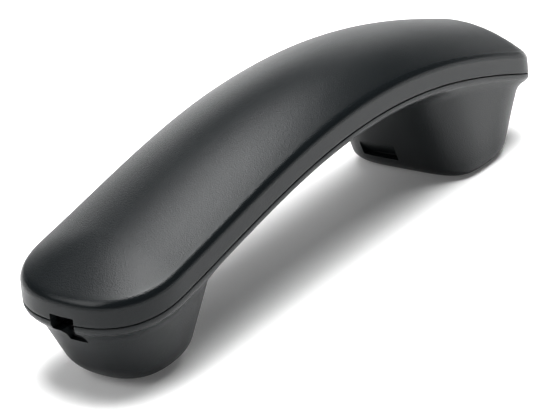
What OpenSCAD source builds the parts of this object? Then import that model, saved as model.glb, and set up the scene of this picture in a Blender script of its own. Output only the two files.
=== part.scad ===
/* [Handset] */
// overall length of the handset
handset_l = 211; // [205:1:220]
// width across the grip and both bowls
handset_w = 48; // [47:0.2:49]
// wall thickness of both shells
wall = 2.2; // [1.8:0.1:2.6]
// how far the mouthpiece end rounds in plan
near_round = 22.4; // [21:0.2:24]
// how far the earpiece end rounds in plan
far_round = 15.8; // [14:0.2:17]

/* [Parting line] */
// height of the parting line at the mouthpiece end
part_near = 23.3; // [22.6:0.1:24]
// height of the parting line a quarter of the way along
part_quarter = 33.5; // [32.5:0.1:34.5]
// height of the parting line at mid length
part_mid = 40.9; // [40:0.1:42]
// height of the parting line three quarters of the way along
part_three_quarter = 35.7; // [34.7:0.1:36.7]
// height of the parting line at the earpiece end
part_far = 19.6; // [19:0.2:21]

/* [Rear cover] */
// height of the upright side wall above the parting line
side_h = 5.6; // [5:0.1:6.2]
// radius of the rounded edge between side wall and crowned back
edge_r = 2; // [1.6:0.1:2.4]
// rise of the crowned back at the mouthpiece end
crown_near = 5.4; // [4.6:0.1:6.2]
// rise of the crowned back at mid length
crown_mid = 7.6; // [6.8:0.1:8.4]
// rise of the crowned back at the earpiece end
crown_far = 7.6; // [7:0.1:8.2]

/* [Front shell] */
// upright lip under the parting line
lip_h = 2; // [1.6:0.1:2.4]
// depth of the grip below the parting line on its centre line
grip_depth = 8.4; // [7.8:0.1:9]
// centre of the earpiece bowl, from mid length
ear_x = 75; // [74.8:0.1:75.2]
// half length of the earpiece bowl at its face, before its foot is rounded
ear_a = 18.1; // [17.8:0.1:18.4]
// half width of the earpiece bowl at its face, before its foot is rounded
ear_b = 22.4; // [22:0.1:22.6]
// centre of the mouthpiece bowl, from mid length
mouth_x = -80.5; // [-81.5:0.5:-79.5]
// half length of the mouthpiece bowl
mouth_a = 13.5; // [13:0.1:14]
// half width of the mouthpiece bowl
mouth_b = 14.2; // [14:0.1:15]

/* [Receiver] */
// diameter of the receiver capsule
capsule_d = 32; // [31.4:0.2:32.2]
// diameter of the sound holes in the earpiece
ear_hole_d = 2; // [1.6:0.1:2.4]
// outer diameter of the voice coil
coil_d = 12.4; // [11.8:0.1:12.4]

/* [Microphone] */
// diameter of the microphone can
mic_d = 9.7; // [9.4:0.1:10]
// height of the microphone can
mic_h = 6.5; // [6:0.1:7]
// diameter of the sound holes in the mouthpiece
mouth_hole_d = 1.6; // [1.2:0.1:2]

/* [Jack] */
// width of the modular opening
jack_w = 7.9; // [7.7:0.1:8]
// diameter of the contact wires
contact_d = 0.5; // [0.4:0.05:0.55]
// spacing of the contact wires
contact_pitch = 1.27; // [1.2:0.01:1.4]

/* [Fasteners and weight] */
// outer diameter of the cover screws
screw_d = 2.9; // [2.6:0.1:3]
// length of the cover screws under the head
screw_l = 12; // [11:0.5:13]
// length of the steel weight
weight_l = 44; // [40:1:46]
// width of the steel weight
weight_w = 20; // [18:0.5:20]
// thickness of the steel weight
weight_t = 6; // [5:0.5:6.5]

/* [Hidden] */

near_tip = -handset_l / 2;
far_tip = handset_l / 2;
near_pole = near_tip + near_round;
far_pole = far_tip - far_round;
half_w = handset_w / 2;
// how far the rounded edge turns before the crown takes over
edge_turn = 60;
// slot through the cover near the earpiece end
slot_x = 88;
slot_y = 12;
slot_l = 1;
slot_w = 3.4;
// powers of the rounded ends and bowls: 2 is an ellipse, more is squarer
near_power = 2.45;
far_power = 2.7;
ear_front_power = 4.4;
ear_far_power = 2.5;
mouth_power = 2.4;
// counts of stations around each end, and of rows from the lip to the spine
fan_steps = 9;
ray_rows = 13;
// stations along the grip: [step number, x], packed closer where the bowls meet the grip
station_knots = [[0, near_pole], [12, -45], [20, 40], [30, 64], [35, far_pole]];
mid_steps = 35;
// how far along a ray the shell's skin can lie, and how often that length is halved
ray_far = 1.6;
ray_halvings = 15;

// rounding at the foot of each bowl, and how fast each side spreads with height
ear_foot_r = 4.5;
ear_far_spread = 0.56;
ear_front_spread = 0.45;
ear_side_spread = 0.04;
mouth_foot_r = 7;
mouth_near_spread = 0.46;
mouth_grip_spread = 0.33;
mouth_side_spread = 0.34;
blend = 3;

// the quartic through the five parting heights, t running from 0 to 4 along the length
function part_t(t) =
    part_near * (t - 1) * (t - 2) * (t - 3) * (t - 4) / 24
    - part_quarter * t * (t - 2) * (t - 3) * (t - 4) / 6
    + part_mid * t * (t - 1) * (t - 3) * (t - 4) / 4
    - part_three_quarter * t * (t - 1) * (t - 2) * (t - 4) / 6
    + part_far * t * (t - 1) * (t - 2) * (t - 3) / 24;
function part_z(x) = part_t(4 * (x - near_tip) / handset_l);

// parabola through the three crown heights
function crown_u(u) = crown_near * (1 - u) * (1 - 2 * u) + crown_mid * 4 * u * (1 - u)
    + crown_far * u * (2 * u - 1);
function crown(x) = crown_u((x - near_tip) / handset_l);

function mid_x(k) = lookup(k, station_knots);

// half outline from the near tip to the far tip: [ray origin x, outline x, outline y]
function outline(i) = concat(
    [for (k = [0 : fan_steps - 1]) let (a = 90 * k / fan_steps) [near_pole,
        near_pole - (near_round - i) * pow(cos(a), 2 / near_power),
        -(half_w - i) * pow(sin(a), 2 / near_power)]],
    [for (k = [0 : mid_steps]) [mid_x(k), mid_x(k), -(half_w - i)]],
    [for (k = [fan_steps - 1 : -1 : 0]) let (a = 90 * k / fan_steps) [far_pole,
        far_pole + (far_round - i) * pow(cos(a), 2 / far_power),
        -(half_w - i) * pow(sin(a), 2 / far_power)]]);
stations = 2 * fan_steps + mid_steps + 1;
loop_n = 2 * stations - 2;

// 0 on the centre line and 1 on the outline drawn in by i
function gauge(x, y, i) =
    x < near_pole
        ? pow(pow((near_pole - x) / (near_round - i), near_power)
            + pow(abs(y) / (half_w - i), near_power), 1 / near_power)
    : x > far_pole
        ? pow(pow((x - far_pole) / (far_round - i), far_power)
            + pow(abs(y) / (half_w - i), far_power), 1 / far_power)
    : abs(y) / (half_w - i);

function smooth_min(a, b, k) = min(a, b) - pow(max(k - abs(a - b), 0), 2) / (4 * k);
function foot_inset(h, r) = h >= r ? 0 : r * (1 - sqrt(max(1 - pow(1 - max(h, 0) / r, 2), 0)));

// signed size of a bowl with spreading sides: negative inside.
// spread and power are [towards the mouthpiece, towards the earpiece end], r the rounding of its foot
function bowl(x, y, z, i, cx, a, b, spread, side_spread, power, r) =
    let (k = x < cx ? 0 : 1)
    let (d = foot_inset(z - i, max(r - i, 1)) + i)
    let (len = a + spread[k] * max(z, 0) - d)
    let (wid = b + side_spread * max(z, 0) - d)
    max((pow(pow(abs(x - cx) / len, power[k]) + pow(abs(y) / wid, power[k]), 1 / power[k]) - 1)
        * wid, i - z);
function ear_bowl(x, y, z, i) = bowl(x, y, z, i, ear_x, ear_a, ear_b,
    [ear_front_spread, ear_far_spread], ear_side_spread, [ear_front_power, ear_far_power], ear_foot_r);
function mouth_bowl(x, y, z, i) = bowl(x, y, z, i, mouth_x, mouth_a, mouth_b,
    [mouth_near_spread, mouth_grip_spread], mouth_side_spread, [mouth_power, mouth_power], mouth_foot_r);
// underside of the grip: an upright lip, then a shallow arc to the centre line
function grip(x, y, z, i) = part_z(x) - z + i - lip_h
    - (grip_depth - lip_h) * (1 - pow(gauge(x, y, 0), 2));
function front_body(x, y, z, i) = max((gauge(x, y, i) - 1) * half_w,
    smooth_min(smooth_min(grip(x, y, z, i), ear_bowl(x, y, z, i), blend),
        mouth_bowl(x, y, z, i), blend));

// distance along a ray where the front body ends, found by halving
function ray_end(c, v, i, lo, hi, n) = n == 0 ? (lo + hi) / 2
    : let (m = (lo + hi) / 2)
    front_body(c[0] + v[0] * m, c[1] + v[1] * m, c[2] + v[2] * m, i) < 0
        ? ray_end(c, v, i, m, hi, n - 1) : ray_end(c, v, i, lo, m, n - 1);

function mirror_half(h) = concat(h, [for (k = [stations - 2 : -1 : 1]) [h[k][0], -h[k][1], h[k][2]]]);
function spine_of(k) = let (j = k < stations ? k : loop_n - k)
    min(max(j - fan_steps, 0), mid_steps);

// one row of the back, q from 1 at the outline to 0 on the centre line
function back_row(i, q_in, h, arc) = mirror_half([for (s = outline(i))
    let (span = norm([s[1] - s[0], s[2]]))
    let (q = q_in[0] - q_in[1] / span)
    let (x = s[0] + q * (s[1] - s[0]))
    [x, q * s[2], part_z(x) + h + crown(x) * arc]]);
function back_spine(h) = [for (k = [0 : mid_steps])
    [mid_x(k), 0, part_z(mid_x(k)) + h + crown(mid_x(k))]];
back_qs = [0.86, 0.72, 0.56, 0.38, 0.19];
function back_rows(i, r) = concat(
    [back_row(i, [1, 0], 0, 0), back_row(i, [1, 0.1], side_h - i * 0.5, 0)],
    [for (a = [15 : 15 : edge_turn]) back_row(i, [1, 0.1 + r * (1 - cos(a))],
        side_h - i * 0.5 + r * sin(a), 0)],
    [for (q = back_qs) back_row(i, [q, 0], side_h + edge_r * sin(edge_turn) - i, 1 - q * q)]);

// one row of the front shell's skin, along rays that leave the lip at turn 0 and point down at 90
function skin_row(i, turn, drop) = mirror_half([for (s = outline(i))
    let (c = [s[0], 0, part_z(s[0])])
    let (v = [s[1] - s[0], s[2], part_z(s[1]) - drop - c[2]] * cos(turn)
        - [0, 0, c[2] * sin(turn)])
    c + v * ray_end(c, v, i, 0, ray_far, ray_halvings)]);
function skin_spine(i) = [for (k = [0 : mid_steps])
    let (c = [mid_x(k), 0, part_z(mid_x(k))])
    let (v = [0, 0, -c[2]])
    c + v * ray_end(c, v, i, 0, ray_far, ray_halvings)];
function rim_row(i, h) = mirror_half([for (s = outline(i)) [s[1], s[2], part_z(s[1]) + h]]);

function band(a, b) = [for (k = [0 : loop_n - 1]) let (n = (k + 1) % loop_n)
    each [[a + k, a + n, b + n], [a + k, b + n, b + k]]];
function cap(a, s) = [for (k = [0 : loop_n - 1]) let (n = (k + 1) % loop_n)
    let (p = s + spine_of(k), q = s + spine_of(n))
    each (p == q ? [[a + k, a + n, p]] : [[a + k, a + n, q], [a + k, q, p]])];
function flip(f) = [for (t = f) [t[2], t[1], t[0]]];

// closed skin from an outer spine, through rows outward and back inward, to an inner spine
module shell_mesh(rows, outer_spine, inner_spine, turned) {
    n = len(rows);
    pts = concat([for (r = rows) each r], outer_spine, inner_spine);
    faces = concat(
        flip(cap(0, n * loop_n)),
        [for (j = [0 : n - 2]) each band(j * loop_n, (j + 1) * loop_n)],
        cap((n - 1) * loop_n, n * loop_n + mid_steps + 1));
    polyhedron(pts, turned ? flip(faces) : faces);
}

function reversed(l) = [for (k = [len(l) - 1 : -1 : 0]) l[k]];

// inner faces of the case on its centre line
edge_turn_h = edge_r * sin(edge_turn);
function back_in_z(x) = part_z(x) + side_h + edge_turn_h - wall + crown(x);
function grip_out_z(x) = part_z(x) - grip_depth;

// tongue of the front shell inside the rear cover
tongue_h = 1.6;
tongue_t = 1.2;
tongue_gap = 0.1;

// how far ribs, posts and bosses run into the wall they stand on
root = 1;

// screw posts, one at each end of the grip
screw_xs = [-52, 35];
post_d = 6.4;
boss_d = 9;
pilot_d = 2.4;
clear_d = 3.4;
head_d = 5.6;
head_h = 2;
head_sink = 1.2;
seat_up = head_h + head_sink;
sink_d = 6.2;
split_up = 0.6;
cross_l = 3;
cross_w = 0.8;
cross_depth = 1;

// receiver stack, heights up from the table on the capsule's own axis
cap_x = ear_x + 1.3;
gasket_z = wall + 0.02;
gasket_w = 1.3;
gasket_h = 1.5;
gasket_in_r = 12;
cloth_t = 0.3;
capsule_z = gasket_z + gasket_h;
grille_t = 1;
rim_z = capsule_z + 3;
rim_in_r = capsule_d / 2 - 1.5;
cap_hole_r = 7;
cap_hole_d = 1.8;
clamp_z = rim_z - 0.5;
clamp_r = rim_in_r - 1.3;
clamp_h = 1;
clamp_gap = 0.2;
film_t = 0.2;
dome_z = clamp_z - 0.9;
dome_r = clamp_r - 2.1;
dome_cap_r = 5.4;
dome_cap_h = 1;
coil_t = 0.35;
coil_in_r = coil_d / 2 - coil_t;
coil_h = 3.7;
gap = 0.3;
pole_r = coil_in_r - gap;
pole_z = dome_z + 1.9;
pole_t = 1.2;
magnet_r = pole_r - 0.35;
magnet_t = 2.8;
yoke_in_r = coil_d / 2 + gap + 0.05;
yoke_r = yoke_in_r + 1.95;
yoke_t = 1.5;
magnet_z = pole_z + pole_t;
yoke_z = magnet_z + magnet_t;
web_z = clamp_z + 1.8;
web_t = 1.2;
flange_top = rim_z + 2.3;
hub_r = yoke_r + 1.6;
web_in_r = capsule_d / 2 - 2.4;
web_hole_r = 11.9;
web_hole_d = 2.4;
terminal_x = cap_x - 12.4;
terminal_size = [4.4, 8, 0.8];
solder_ys = [-2.4, 2.4];
solder_r = 0.9;
solder_h = 1.1;
solder_z = flange_top + terminal_size[2] + solder_h;

// sound holes in the earpiece: one in the middle and two rings
hole_ring_1 = 4.5;
hole_ring_2 = 9;
ear_cloth_r = 11.7;

// hooks that hold the capsule's flange
hook_turns = [90, 210, 330];
hook_w = 5;
hook_t = 1.4;
hook_reach = 1.2;
hook_z = 1.2;

// microphone stack over the mouthpiece holes
mic_x = mouth_x;
mic_seat_z = 3;
boot_z = mic_seat_z + cloth_t;
boot_d = mic_d + 2.7;
boot_floor = 0.8;
can_z = boot_z + boot_floor;
mic_board_t = 0.8;
mic_board_z = can_z + mic_h;
mic_floor = 1.4;
mic_collar_t = 1.4;
mic_collar_h = 3.6;
mic_port_r = 3.2;
mic_port_d = 1.5;
mouth_hole_gap = 2;

// modular jack, its opening straddling the parting line of the end wall
jack_back = -88;
jack_mid = -100.4;
jack_nose = -102.9;
jack_top = part_near + 2;
jack_low = part_near - 2.6;
key_low = part_near - 4.5;
key_half = 1.65;
key_shoulder = 3;
jack_half_w = 5.2;
roof_t = 1.5;
// depth of the opening's cut, its step to one side, and the clearance around the housing
cut_l = 7.4;
step_y = -6.2;
step_w = 7.4;
jack_fit = 0.1;
jack_floor = key_low - 1.3;
contact_x = -101.8;
contact_z = jack_top - contact_d / 2 - 0.06;
contact_l = 9;
contact_slope = 16;
tail_z = jack_top + 0.34;
tail_end = jack_back + 0.3;
contact_ys = [for (k = [-1.5 : 1 : 1.5]) k * contact_pitch];

// steel weight on two ribs in the middle of the grip
weight_x = -8;
pad_t = 1;
rib_top = 36.2;
rib_xs = [weight_x - 16, weight_x + 16];
rib_w = 14;
rib_t = 2;
stop_t = 2;
stop_w = 10;
stop_gap = 0.2;
stop_h = 4;

// hanging recess low on the earpiece bowl's front wall, to one side: a level ledge, and a ramp above it
// that starts at recess_depth and runs out at the wall's surface
recess_y = 0.1;
recess_w = 13.2;
recess_low = 5.4;
recess_high = 11.4;
recess_depth = 3.4;
recess_wall = 1.5;
function front_x(z) = ear_x - ear_a - ear_front_spread * z;
ramp_foot = [front_x(recess_low) + recess_depth, recess_low];
ramp_top = [front_x(recess_high), recess_high];

// leads: centre line points, chosen so that each clears the weight and the posts
lead_r = 0.5;
lead_x = tail_end + 0.25;
ear_lead_z = solder_z + 0.3;
mic_lead_z = mic_board_z + mic_board_t + 0.25;
lead_sides = 8;
red_route = [[lead_x, contact_ys[0], tail_z], [-84, -3, 26.4], [-70, -11, 29.5], [-52, -13, 34],
    [-30, -13.5, 38], [14, -13.5, 40.5], [35, -12, 38.5], [48, -10.5, 33], [57, -7, 22],
    [61, -3.4, 14], [terminal_x, solder_ys[0], ear_lead_z]];
green_route = [[lead_x, contact_ys[1], tail_z], [-84, -1.2, 28.2], [-70, -9.6, 31.4],
    [-52, -11.4, 36], [-30, -12, 40], [14, -12, 42.5], [35, -10.4, 40.2], [48, -8, 34.8],
    [57, -4, 24], [61.5, 0.4, 15.5], [terminal_x, solder_ys[1], ear_lead_z]];
black_route = [[lead_x, contact_ys[2], tail_z], [-84, 1.4, 25.8], [-80.5, 2.6, 21],
    [-80.5, 2.2, 16], [mic_x, 1.6, mic_lead_z]];
yellow_route = [[lead_x, contact_ys[3], tail_z], [-84.6, 3.4, 25], [-83, 3.2, 20],
    [-82.2, 0.4, 15.6], [mic_x - 0.4, -1.6, mic_lead_z]];

// a smooth point on a route between point j and the next
function mix4(a, b, c, d, t) = 0.5 * (2 * b + (c - a) * t + (2 * a - 5 * b + 4 * c - d) * t * t
    + (3 * b - a - 3 * c + d) * t * t * t);
function along(r, j, t) = let (n = len(r) - 1)
    mix4(r[max(j - 1, 0)], r[j], r[j + 1], r[min(j + 2, n)], t);
function unit(v) = v / norm(v);

// round wire swept along a route
module wire(route, radius, per) {
    n = len(route) - 1;
    line = concat([for (j = [0 : n - 1], t = [0 : per - 1]) along(route, j, t / per)], [route[n]]);
    m = len(line) - 1;
    rings = [for (k = [0 : m])
        let (d = unit(line[min(k + 1, m)] - line[max(k - 1, 0)]))
        let (side = unit(cross(d, abs(d[2]) > 0.9 ? [0, 1, 0] : [0, 0, 1])))
        let (lift = cross(side, d))
        for (a = [0 : lead_sides - 1])
            line[k] + radius * (cos(360 * a / lead_sides) * side + sin(360 * a / lead_sides) * lift)];
    body = [for (k = [0 : m - 1], a = [0 : lead_sides - 1])
        let (p = k * lead_sides, q = (a + 1) % lead_sides)
        each [[p + a, p + q, p + lead_sides + q], [p + a, p + lead_sides + q, p + lead_sides + a]]];
    start = [for (a = [1 : lead_sides - 2]) [0, a + 1, a]];
    finish = [for (a = [1 : lead_sides - 2]) [m * lead_sides, m * lead_sides + a, m * lead_sides + a + 1]];
    polyhedron(rings, flip(concat(body, start, finish)));
}

module ring(r_out, r_in, h) {
    difference() {
        cylinder(r = r_out, h = h, $fn = 64);
        translate([0, 0, -1]) cylinder(r = r_in, h = h + 2, $fn = 64);
    }
}

module at_ear(z) {
    translate([cap_x, 0, z]) children();
}

// opening in the end wall: a wide slot with a step down to one side for the latch
module jack_cut() {
    translate([near_tip - 2, -jack_w / 2, jack_low]) cube([cut_l, jack_w, jack_top - jack_low]);
    translate([near_tip - 2, step_y, key_low]) cube([cut_l, step_w, jack_low - key_low + 0.01]);
}

module rear_cover() {
    color([0.16, 0.17, 0.18]) difference() {
        union() {
            shell_mesh(concat(reversed(back_rows(0, edge_r)), back_rows(wall, 1)),
                back_spine(side_h + edge_turn_h), back_spine(side_h + edge_turn_h - wall), false);
            for (x = screw_xs) translate([x, 0, part_z(x) + split_up])
                cylinder(d = post_d, h = back_in_z(x) + root - part_z(x) - split_up, $fn = 48);
        }
        for (x = screw_xs) translate([x, 0, part_z(x) - 1])
            cylinder(d = pilot_d, h = screw_l - 0.6, $fn = 32);
        jack_cut();
        translate([slot_x, slot_y, back_in_z(slot_x) - 1]) cube([slot_l, slot_w, 9], center = true);
    }
}

module front_shell() {
    color([0.17, 0.18, 0.19]) difference() {
        union() {
            shell_mesh(concat(
                reversed(concat([rim_row(0, 0)],
                    [for (k = [0 : ray_rows - 1]) skin_row(0, 90 * k / ray_rows, lip_h)])),
                [rim_row(wall + tongue_gap, 0), rim_row(wall + tongue_gap, tongue_h),
                    rim_row(wall + tongue_gap + tongue_t, tongue_h),
                    rim_row(wall + tongue_gap + tongue_t, -1)],
                [for (k = [1 : ray_rows - 1]) skin_row(wall, 90 * k / ray_rows, 0)]),
                skin_spine(0), skin_spine(wall), true);
            for (x = screw_xs) translate([x, 0, grip_out_z(x) + root])
                cylinder(d = boss_d, h = grip_depth + split_up - root, $fn = 48);
            for (x = rib_xs) translate([x - rib_t / 2, -rib_w / 2, grip_out_z(x) + root])
                cube([rib_t, rib_w, rib_top - grip_out_z(x) - root]);
            for (x = [weight_x - weight_l / 2 - stop_gap - stop_t, weight_x + weight_l / 2 + stop_gap])
                translate([x, -stop_w / 2, grip_out_z(x) + root])
                    cube([stop_t, stop_w, rib_top + stop_h - grip_out_z(x) - root]);
            translate([mic_x, 0, mic_floor])
                cylinder(r = boot_d / 2 + mic_collar_t, h = mic_seat_z - mic_floor, $fn = 64);
            translate([mic_x, 0, mic_seat_z - 0.2])
                ring(boot_d / 2 + mic_collar_t, boot_d / 2, mic_collar_h);
            for (a = hook_turns) at_ear(0) rotate(a) capsule_hook();
            recess_prism(recess_wall, [[front_x(recess_low - recess_wall) + root, recess_low - recess_wall],
                ramp_foot + [recess_wall, -recess_wall], ramp_foot + [recess_wall, 0.6],
                ramp_top + [root, recess_wall]]);
        }
        for (x = screw_xs) {
            translate([x, 0, grip_out_z(x) - 2]) cylinder(d = sink_d, h = seat_up + 2, $fn = 48);
            translate([x, 0, grip_out_z(x)]) cylinder(d = clear_d, h = grip_depth + 4, $fn = 32);
        }
        at_ear(-1) cylinder(d = ear_hole_d, h = wall + 2, $fn = 24);
        for (k = [0 : 5]) at_ear(-1) rotate(60 * k) translate([hole_ring_1, 0, 0])
            cylinder(d = ear_hole_d, h = wall + 2, $fn = 24);
        for (k = [0 : 11]) at_ear(-1) rotate(30 * k + 15) translate([hole_ring_2, 0, 0])
            cylinder(d = ear_hole_d, h = wall + 2, $fn = 24);
        translate([mic_x, 0, wall]) cylinder(r = mic_port_r - 0.2, h = mic_seat_z, $fn = 32);
        for (k = [-1 : 1]) translate([mic_x, mouth_hole_gap * k, -1])
            cylinder(d = mouth_hole_d, h = wall + 2, $fn = 24);
        jack_cut();
        jack_block(jack_fit);
        recess_prism(0, [ramp_foot, ramp_top, ramp_top - [8, 0], [ramp_top[0] - 8, recess_low]]);
    }
}

// outline in the X-Z plane, carried across the recess's width and g further on both sides
module recess_prism(g, outline_xz) {
    translate([0, recess_y + recess_w + g, 0]) rotate([90, 0, 0])
        linear_extrude(recess_w + 2 * g) polygon(outline_xz);
}

// upright hook that holds the capsule's flange
module capsule_hook() {
    translate([capsule_d / 2 + 0.2, -hook_w / 2, hook_z])
        cube([hook_t, hook_w, flange_top + hook_t + 0.1 - hook_z]);
    translate([capsule_d / 2 + 0.5 - hook_reach, -hook_w / 2, flange_top + 0.1])
        cube([hook_reach, hook_w, hook_t]);
}

module cover_screws() {
    color([0.55, 0.56, 0.58]) for (x = screw_xs) translate([x, 0, grip_out_z(x) + seat_up]) {
        difference() {
            translate([0, 0, -head_h]) cylinder(d = head_d, h = head_h, $fn = 48);
            for (a = [0, 90]) rotate(a) translate([0, 0, -head_h])
                cube([cross_l, cross_w, 2 * cross_depth], center = true);
        }
        cylinder(d = pilot_d, h = screw_l, $fn = 32);
    }
}

module ear_cloth() {
    color([0.1, 0.1, 0.1]) at_ear(gasket_z) cylinder(r = ear_cloth_r, h = cloth_t, $fn = 64);
}
module ear_gasket() {
    color([0.2, 0.2, 0.2]) at_ear(gasket_z) ring(gasket_in_r + gasket_w, gasket_in_r, gasket_h);
}
module receiver_cap() {
    color([0.12, 0.12, 0.13]) at_ear(capsule_z) difference() {
        cylinder(d = capsule_d, h = rim_z - capsule_z, $fn = 64);
        translate([0, 0, grille_t]) cylinder(r = rim_in_r, h = 9, $fn = 64);
        for (k = [0 : 7]) rotate(45 * k) translate([cap_hole_r, 0, -1])
            cylinder(d = cap_hole_d, h = grille_t + 2, $fn = 24);
    }
}
module receiver_surround() {
    color([0.75, 0.7, 0.6]) at_ear(0) rotate_extrude($fn = 64) polygon([
        [rim_in_r - clamp_gap, clamp_z], [clamp_r, clamp_z], [dome_r, dome_z + film_t],
        [dome_r, dome_z], [clamp_r - film_t, clamp_z - film_t],
        [rim_in_r - clamp_gap, clamp_z - film_t]]);
}
module receiver_dome() {
    color([0.8, 0.76, 0.66]) at_ear(dome_z) difference() {
        union() {
            cylinder(r = dome_r, h = film_t, $fn = 64);
            cylinder(r = dome_cap_r, h = dome_cap_h, $fn = 64);
        }
        translate([0, 0, -1]) cylinder(r = dome_cap_r - film_t, h = 1 + dome_cap_h - film_t, $fn = 64);
    }
}
module voice_coil() {
    color([0.72, 0.42, 0.2]) at_ear(dome_z + film_t) ring(coil_d / 2, coil_in_r, coil_h);
}
module receiver_frame() {
    color([0.14, 0.14, 0.15]) at_ear(0) difference() {
        union() {
            translate([0, 0, rim_z]) cylinder(d = capsule_d, h = flange_top - rim_z, $fn = 64);
            translate([0, 0, clamp_z]) cylinder(r = rim_in_r - clamp_gap, h = clamp_h, $fn = 64);
            translate([0, 0, web_z]) cylinder(r = hub_r, h = yoke_z - web_z, $fn = 64);
        }
        translate([0, 0, clamp_z - 1]) cylinder(r = clamp_r, h = web_z - clamp_z + 1, $fn = 64);
        translate([0, 0, web_z + web_t]) ring(web_in_r, hub_r, 9);
        translate([0, 0, web_z - 1]) cylinder(r = yoke_r, h = 9, $fn = 64);
        for (k = [0 : 5]) rotate(60 * k + 30) translate([web_hole_r, 0, web_z - 1])
            cylinder(d = web_hole_d, h = web_t + 2, $fn = 24);
    }
}
module receiver_yoke() {
    color([0.6, 0.61, 0.63]) at_ear(pole_z) difference() {
        cylinder(r = yoke_r, h = yoke_z + yoke_t - pole_z, $fn = 64);
        translate([0, 0, -1]) cylinder(r = yoke_in_r, h = yoke_z - pole_z + 1, $fn = 64);
    }
}
module receiver_magnet() {
    color([0.35, 0.35, 0.37]) at_ear(magnet_z) cylinder(r = magnet_r, h = magnet_t, $fn = 64);
}
module receiver_pole_plate() {
    color([0.65, 0.66, 0.68]) at_ear(pole_z) cylinder(r = pole_r, h = pole_t, $fn = 64);
}
module receiver_terminals() {
    color([0.2, 0.42, 0.22]) translate([terminal_x - terminal_size[0] / 2, -terminal_size[1] / 2,
        flange_top]) cube([terminal_size[0], terminal_size[1], terminal_size[2]]);
    color([0.8, 0.8, 0.78]) for (y = solder_ys) translate([terminal_x, y, flange_top + terminal_size[2]])
        cylinder(r = solder_r, h = solder_h, $fn = 32);
}

module mic_cloth() {
    color([0.1, 0.1, 0.1]) translate([mic_x, 0, mic_seat_z])
        cylinder(r = boot_d / 2 - 0.1, h = cloth_t, $fn = 48);
}
module mic_boot() {
    color([0.11, 0.11, 0.11]) translate([mic_x, 0, boot_z]) difference() {
        cylinder(r = boot_d / 2 - 0.05, h = boot_floor + mic_h - 0.6, $fn = 64);
        translate([0, 0, boot_floor]) cylinder(d = mic_d, h = 20, $fn = 64);
        translate([0, 0, -1]) cylinder(r = mic_port_r, h = boot_floor + 2, $fn = 32);
    }
}
module mic_can() {
    color([0.72, 0.73, 0.75]) translate([mic_x, 0, can_z]) difference() {
        cylinder(d = mic_d, h = mic_h, $fn = 64);
        translate([0, 0, -1]) cylinder(d = mic_port_d, h = 2, $fn = 24);
    }
}
module mic_board() {
    color([0.2, 0.42, 0.22]) translate([mic_x, 0, mic_board_z])
        cylinder(d = mic_d - 0.8, h = mic_board_t, $fn = 48);
}

// outside of the jack: a deep block behind the end wall, and a nose that reaches into the opening
module jack_block(g) {
    translate([jack_mid - g, -jack_half_w - g, jack_floor - g])
        cube([jack_back - jack_mid + 2 * g, 2 * (jack_half_w + g), jack_top + roof_t - jack_floor + 2 * g]);
    translate([jack_nose - g, -jack_half_w - g, jack_low + 0.9 - g])
        cube([jack_mid - jack_nose + 1, 2 * (jack_half_w + g), jack_top + roof_t - jack_low - 0.9 + 2 * g]);
}

module jack_housing() {
    color([0.13, 0.13, 0.14]) difference() {
        jack_block(0);
        translate([jack_nose - 1, -jack_w / 2, jack_low])
            cube([jack_back - jack_nose - 0.5, jack_w, jack_top - jack_low]);
        translate([jack_nose - 1, -key_shoulder, jack_low - 0.8])
            cube([jack_back - jack_nose - 0.5, 2 * key_shoulder, 2]);
        translate([jack_nose - 1, -key_half, key_low])
            cube([jack_back - jack_nose - 0.5, 2 * key_half, 4]);
        for (y = contact_ys) translate([contact_x - 0.5, y - contact_d / 2 - 0.01, jack_top - 0.5])
            cube([20, contact_d + 0.02, tail_z + contact_d / 2 - jack_top + 0.5]);
    }
}
module jack_tails() {
    color([0.85, 0.7, 0.35]) for (y = contact_ys) translate([contact_x, y, tail_z])
        rotate([0, 90, 0]) cylinder(d = contact_d, h = tail_end - contact_x, $fn = 24);
}
// sprung wire that slopes down from its root
module contact(k) {
    color([0.85, 0.7, 0.35]) translate([contact_x, contact_ys[k], contact_z])
        rotate([0, 90 + contact_slope, 0]) cylinder(d = contact_d, h = contact_l, $fn = 24);
}
module contact_1() { contact(0); }
module contact_2() { contact(1); }
module contact_3() { contact(2); }
module contact_4() { contact(3); }

module steel_weight() {
    color([0.5, 0.51, 0.53]) translate([weight_x, 0, rib_top + pad_t + weight_t / 2])
        cube([weight_l, weight_w, weight_t], center = true);
}
module weight_pad() {
    color([0.85, 0.85, 0.8]) translate([weight_x, 0, rib_top + pad_t / 2])
        cube([weight_l - 4, rib_w, pad_t], center = true);
}

module lead_red() { color([0.7, 0.12, 0.1]) wire(red_route, lead_r, 3); }
module lead_green() { color([0.12, 0.45, 0.2]) wire(green_route, lead_r, 3); }
module lead_black() { color([0.08, 0.08, 0.08]) wire(black_route, lead_r, 3); }
module lead_yellow() { color([0.8, 0.68, 0.15]) wire(yellow_route, lead_r, 3); }

rear_cover();
front_shell();
cover_screws();
ear_cloth();
ear_gasket();
receiver_cap();
receiver_surround();
receiver_dome();
voice_coil();
receiver_frame();
receiver_yoke();
receiver_magnet();
receiver_pole_plate();
receiver_terminals();
mic_cloth();
mic_boot();
mic_can();
mic_board();
jack_housing();
jack_tails();
contact_1();
contact_2();
contact_3();
contact_4();
steel_weight();
weight_pad();
lead_red();
lead_green();
lead_black();
lead_yellow();
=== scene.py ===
"""Corded telephone handset lying face down.

The two moulded skins of its case are worked out from their own curves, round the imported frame.
"""

import math

import bmesh
import bpy
import numpy as np
from mathutils import Matrix, Vector


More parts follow.
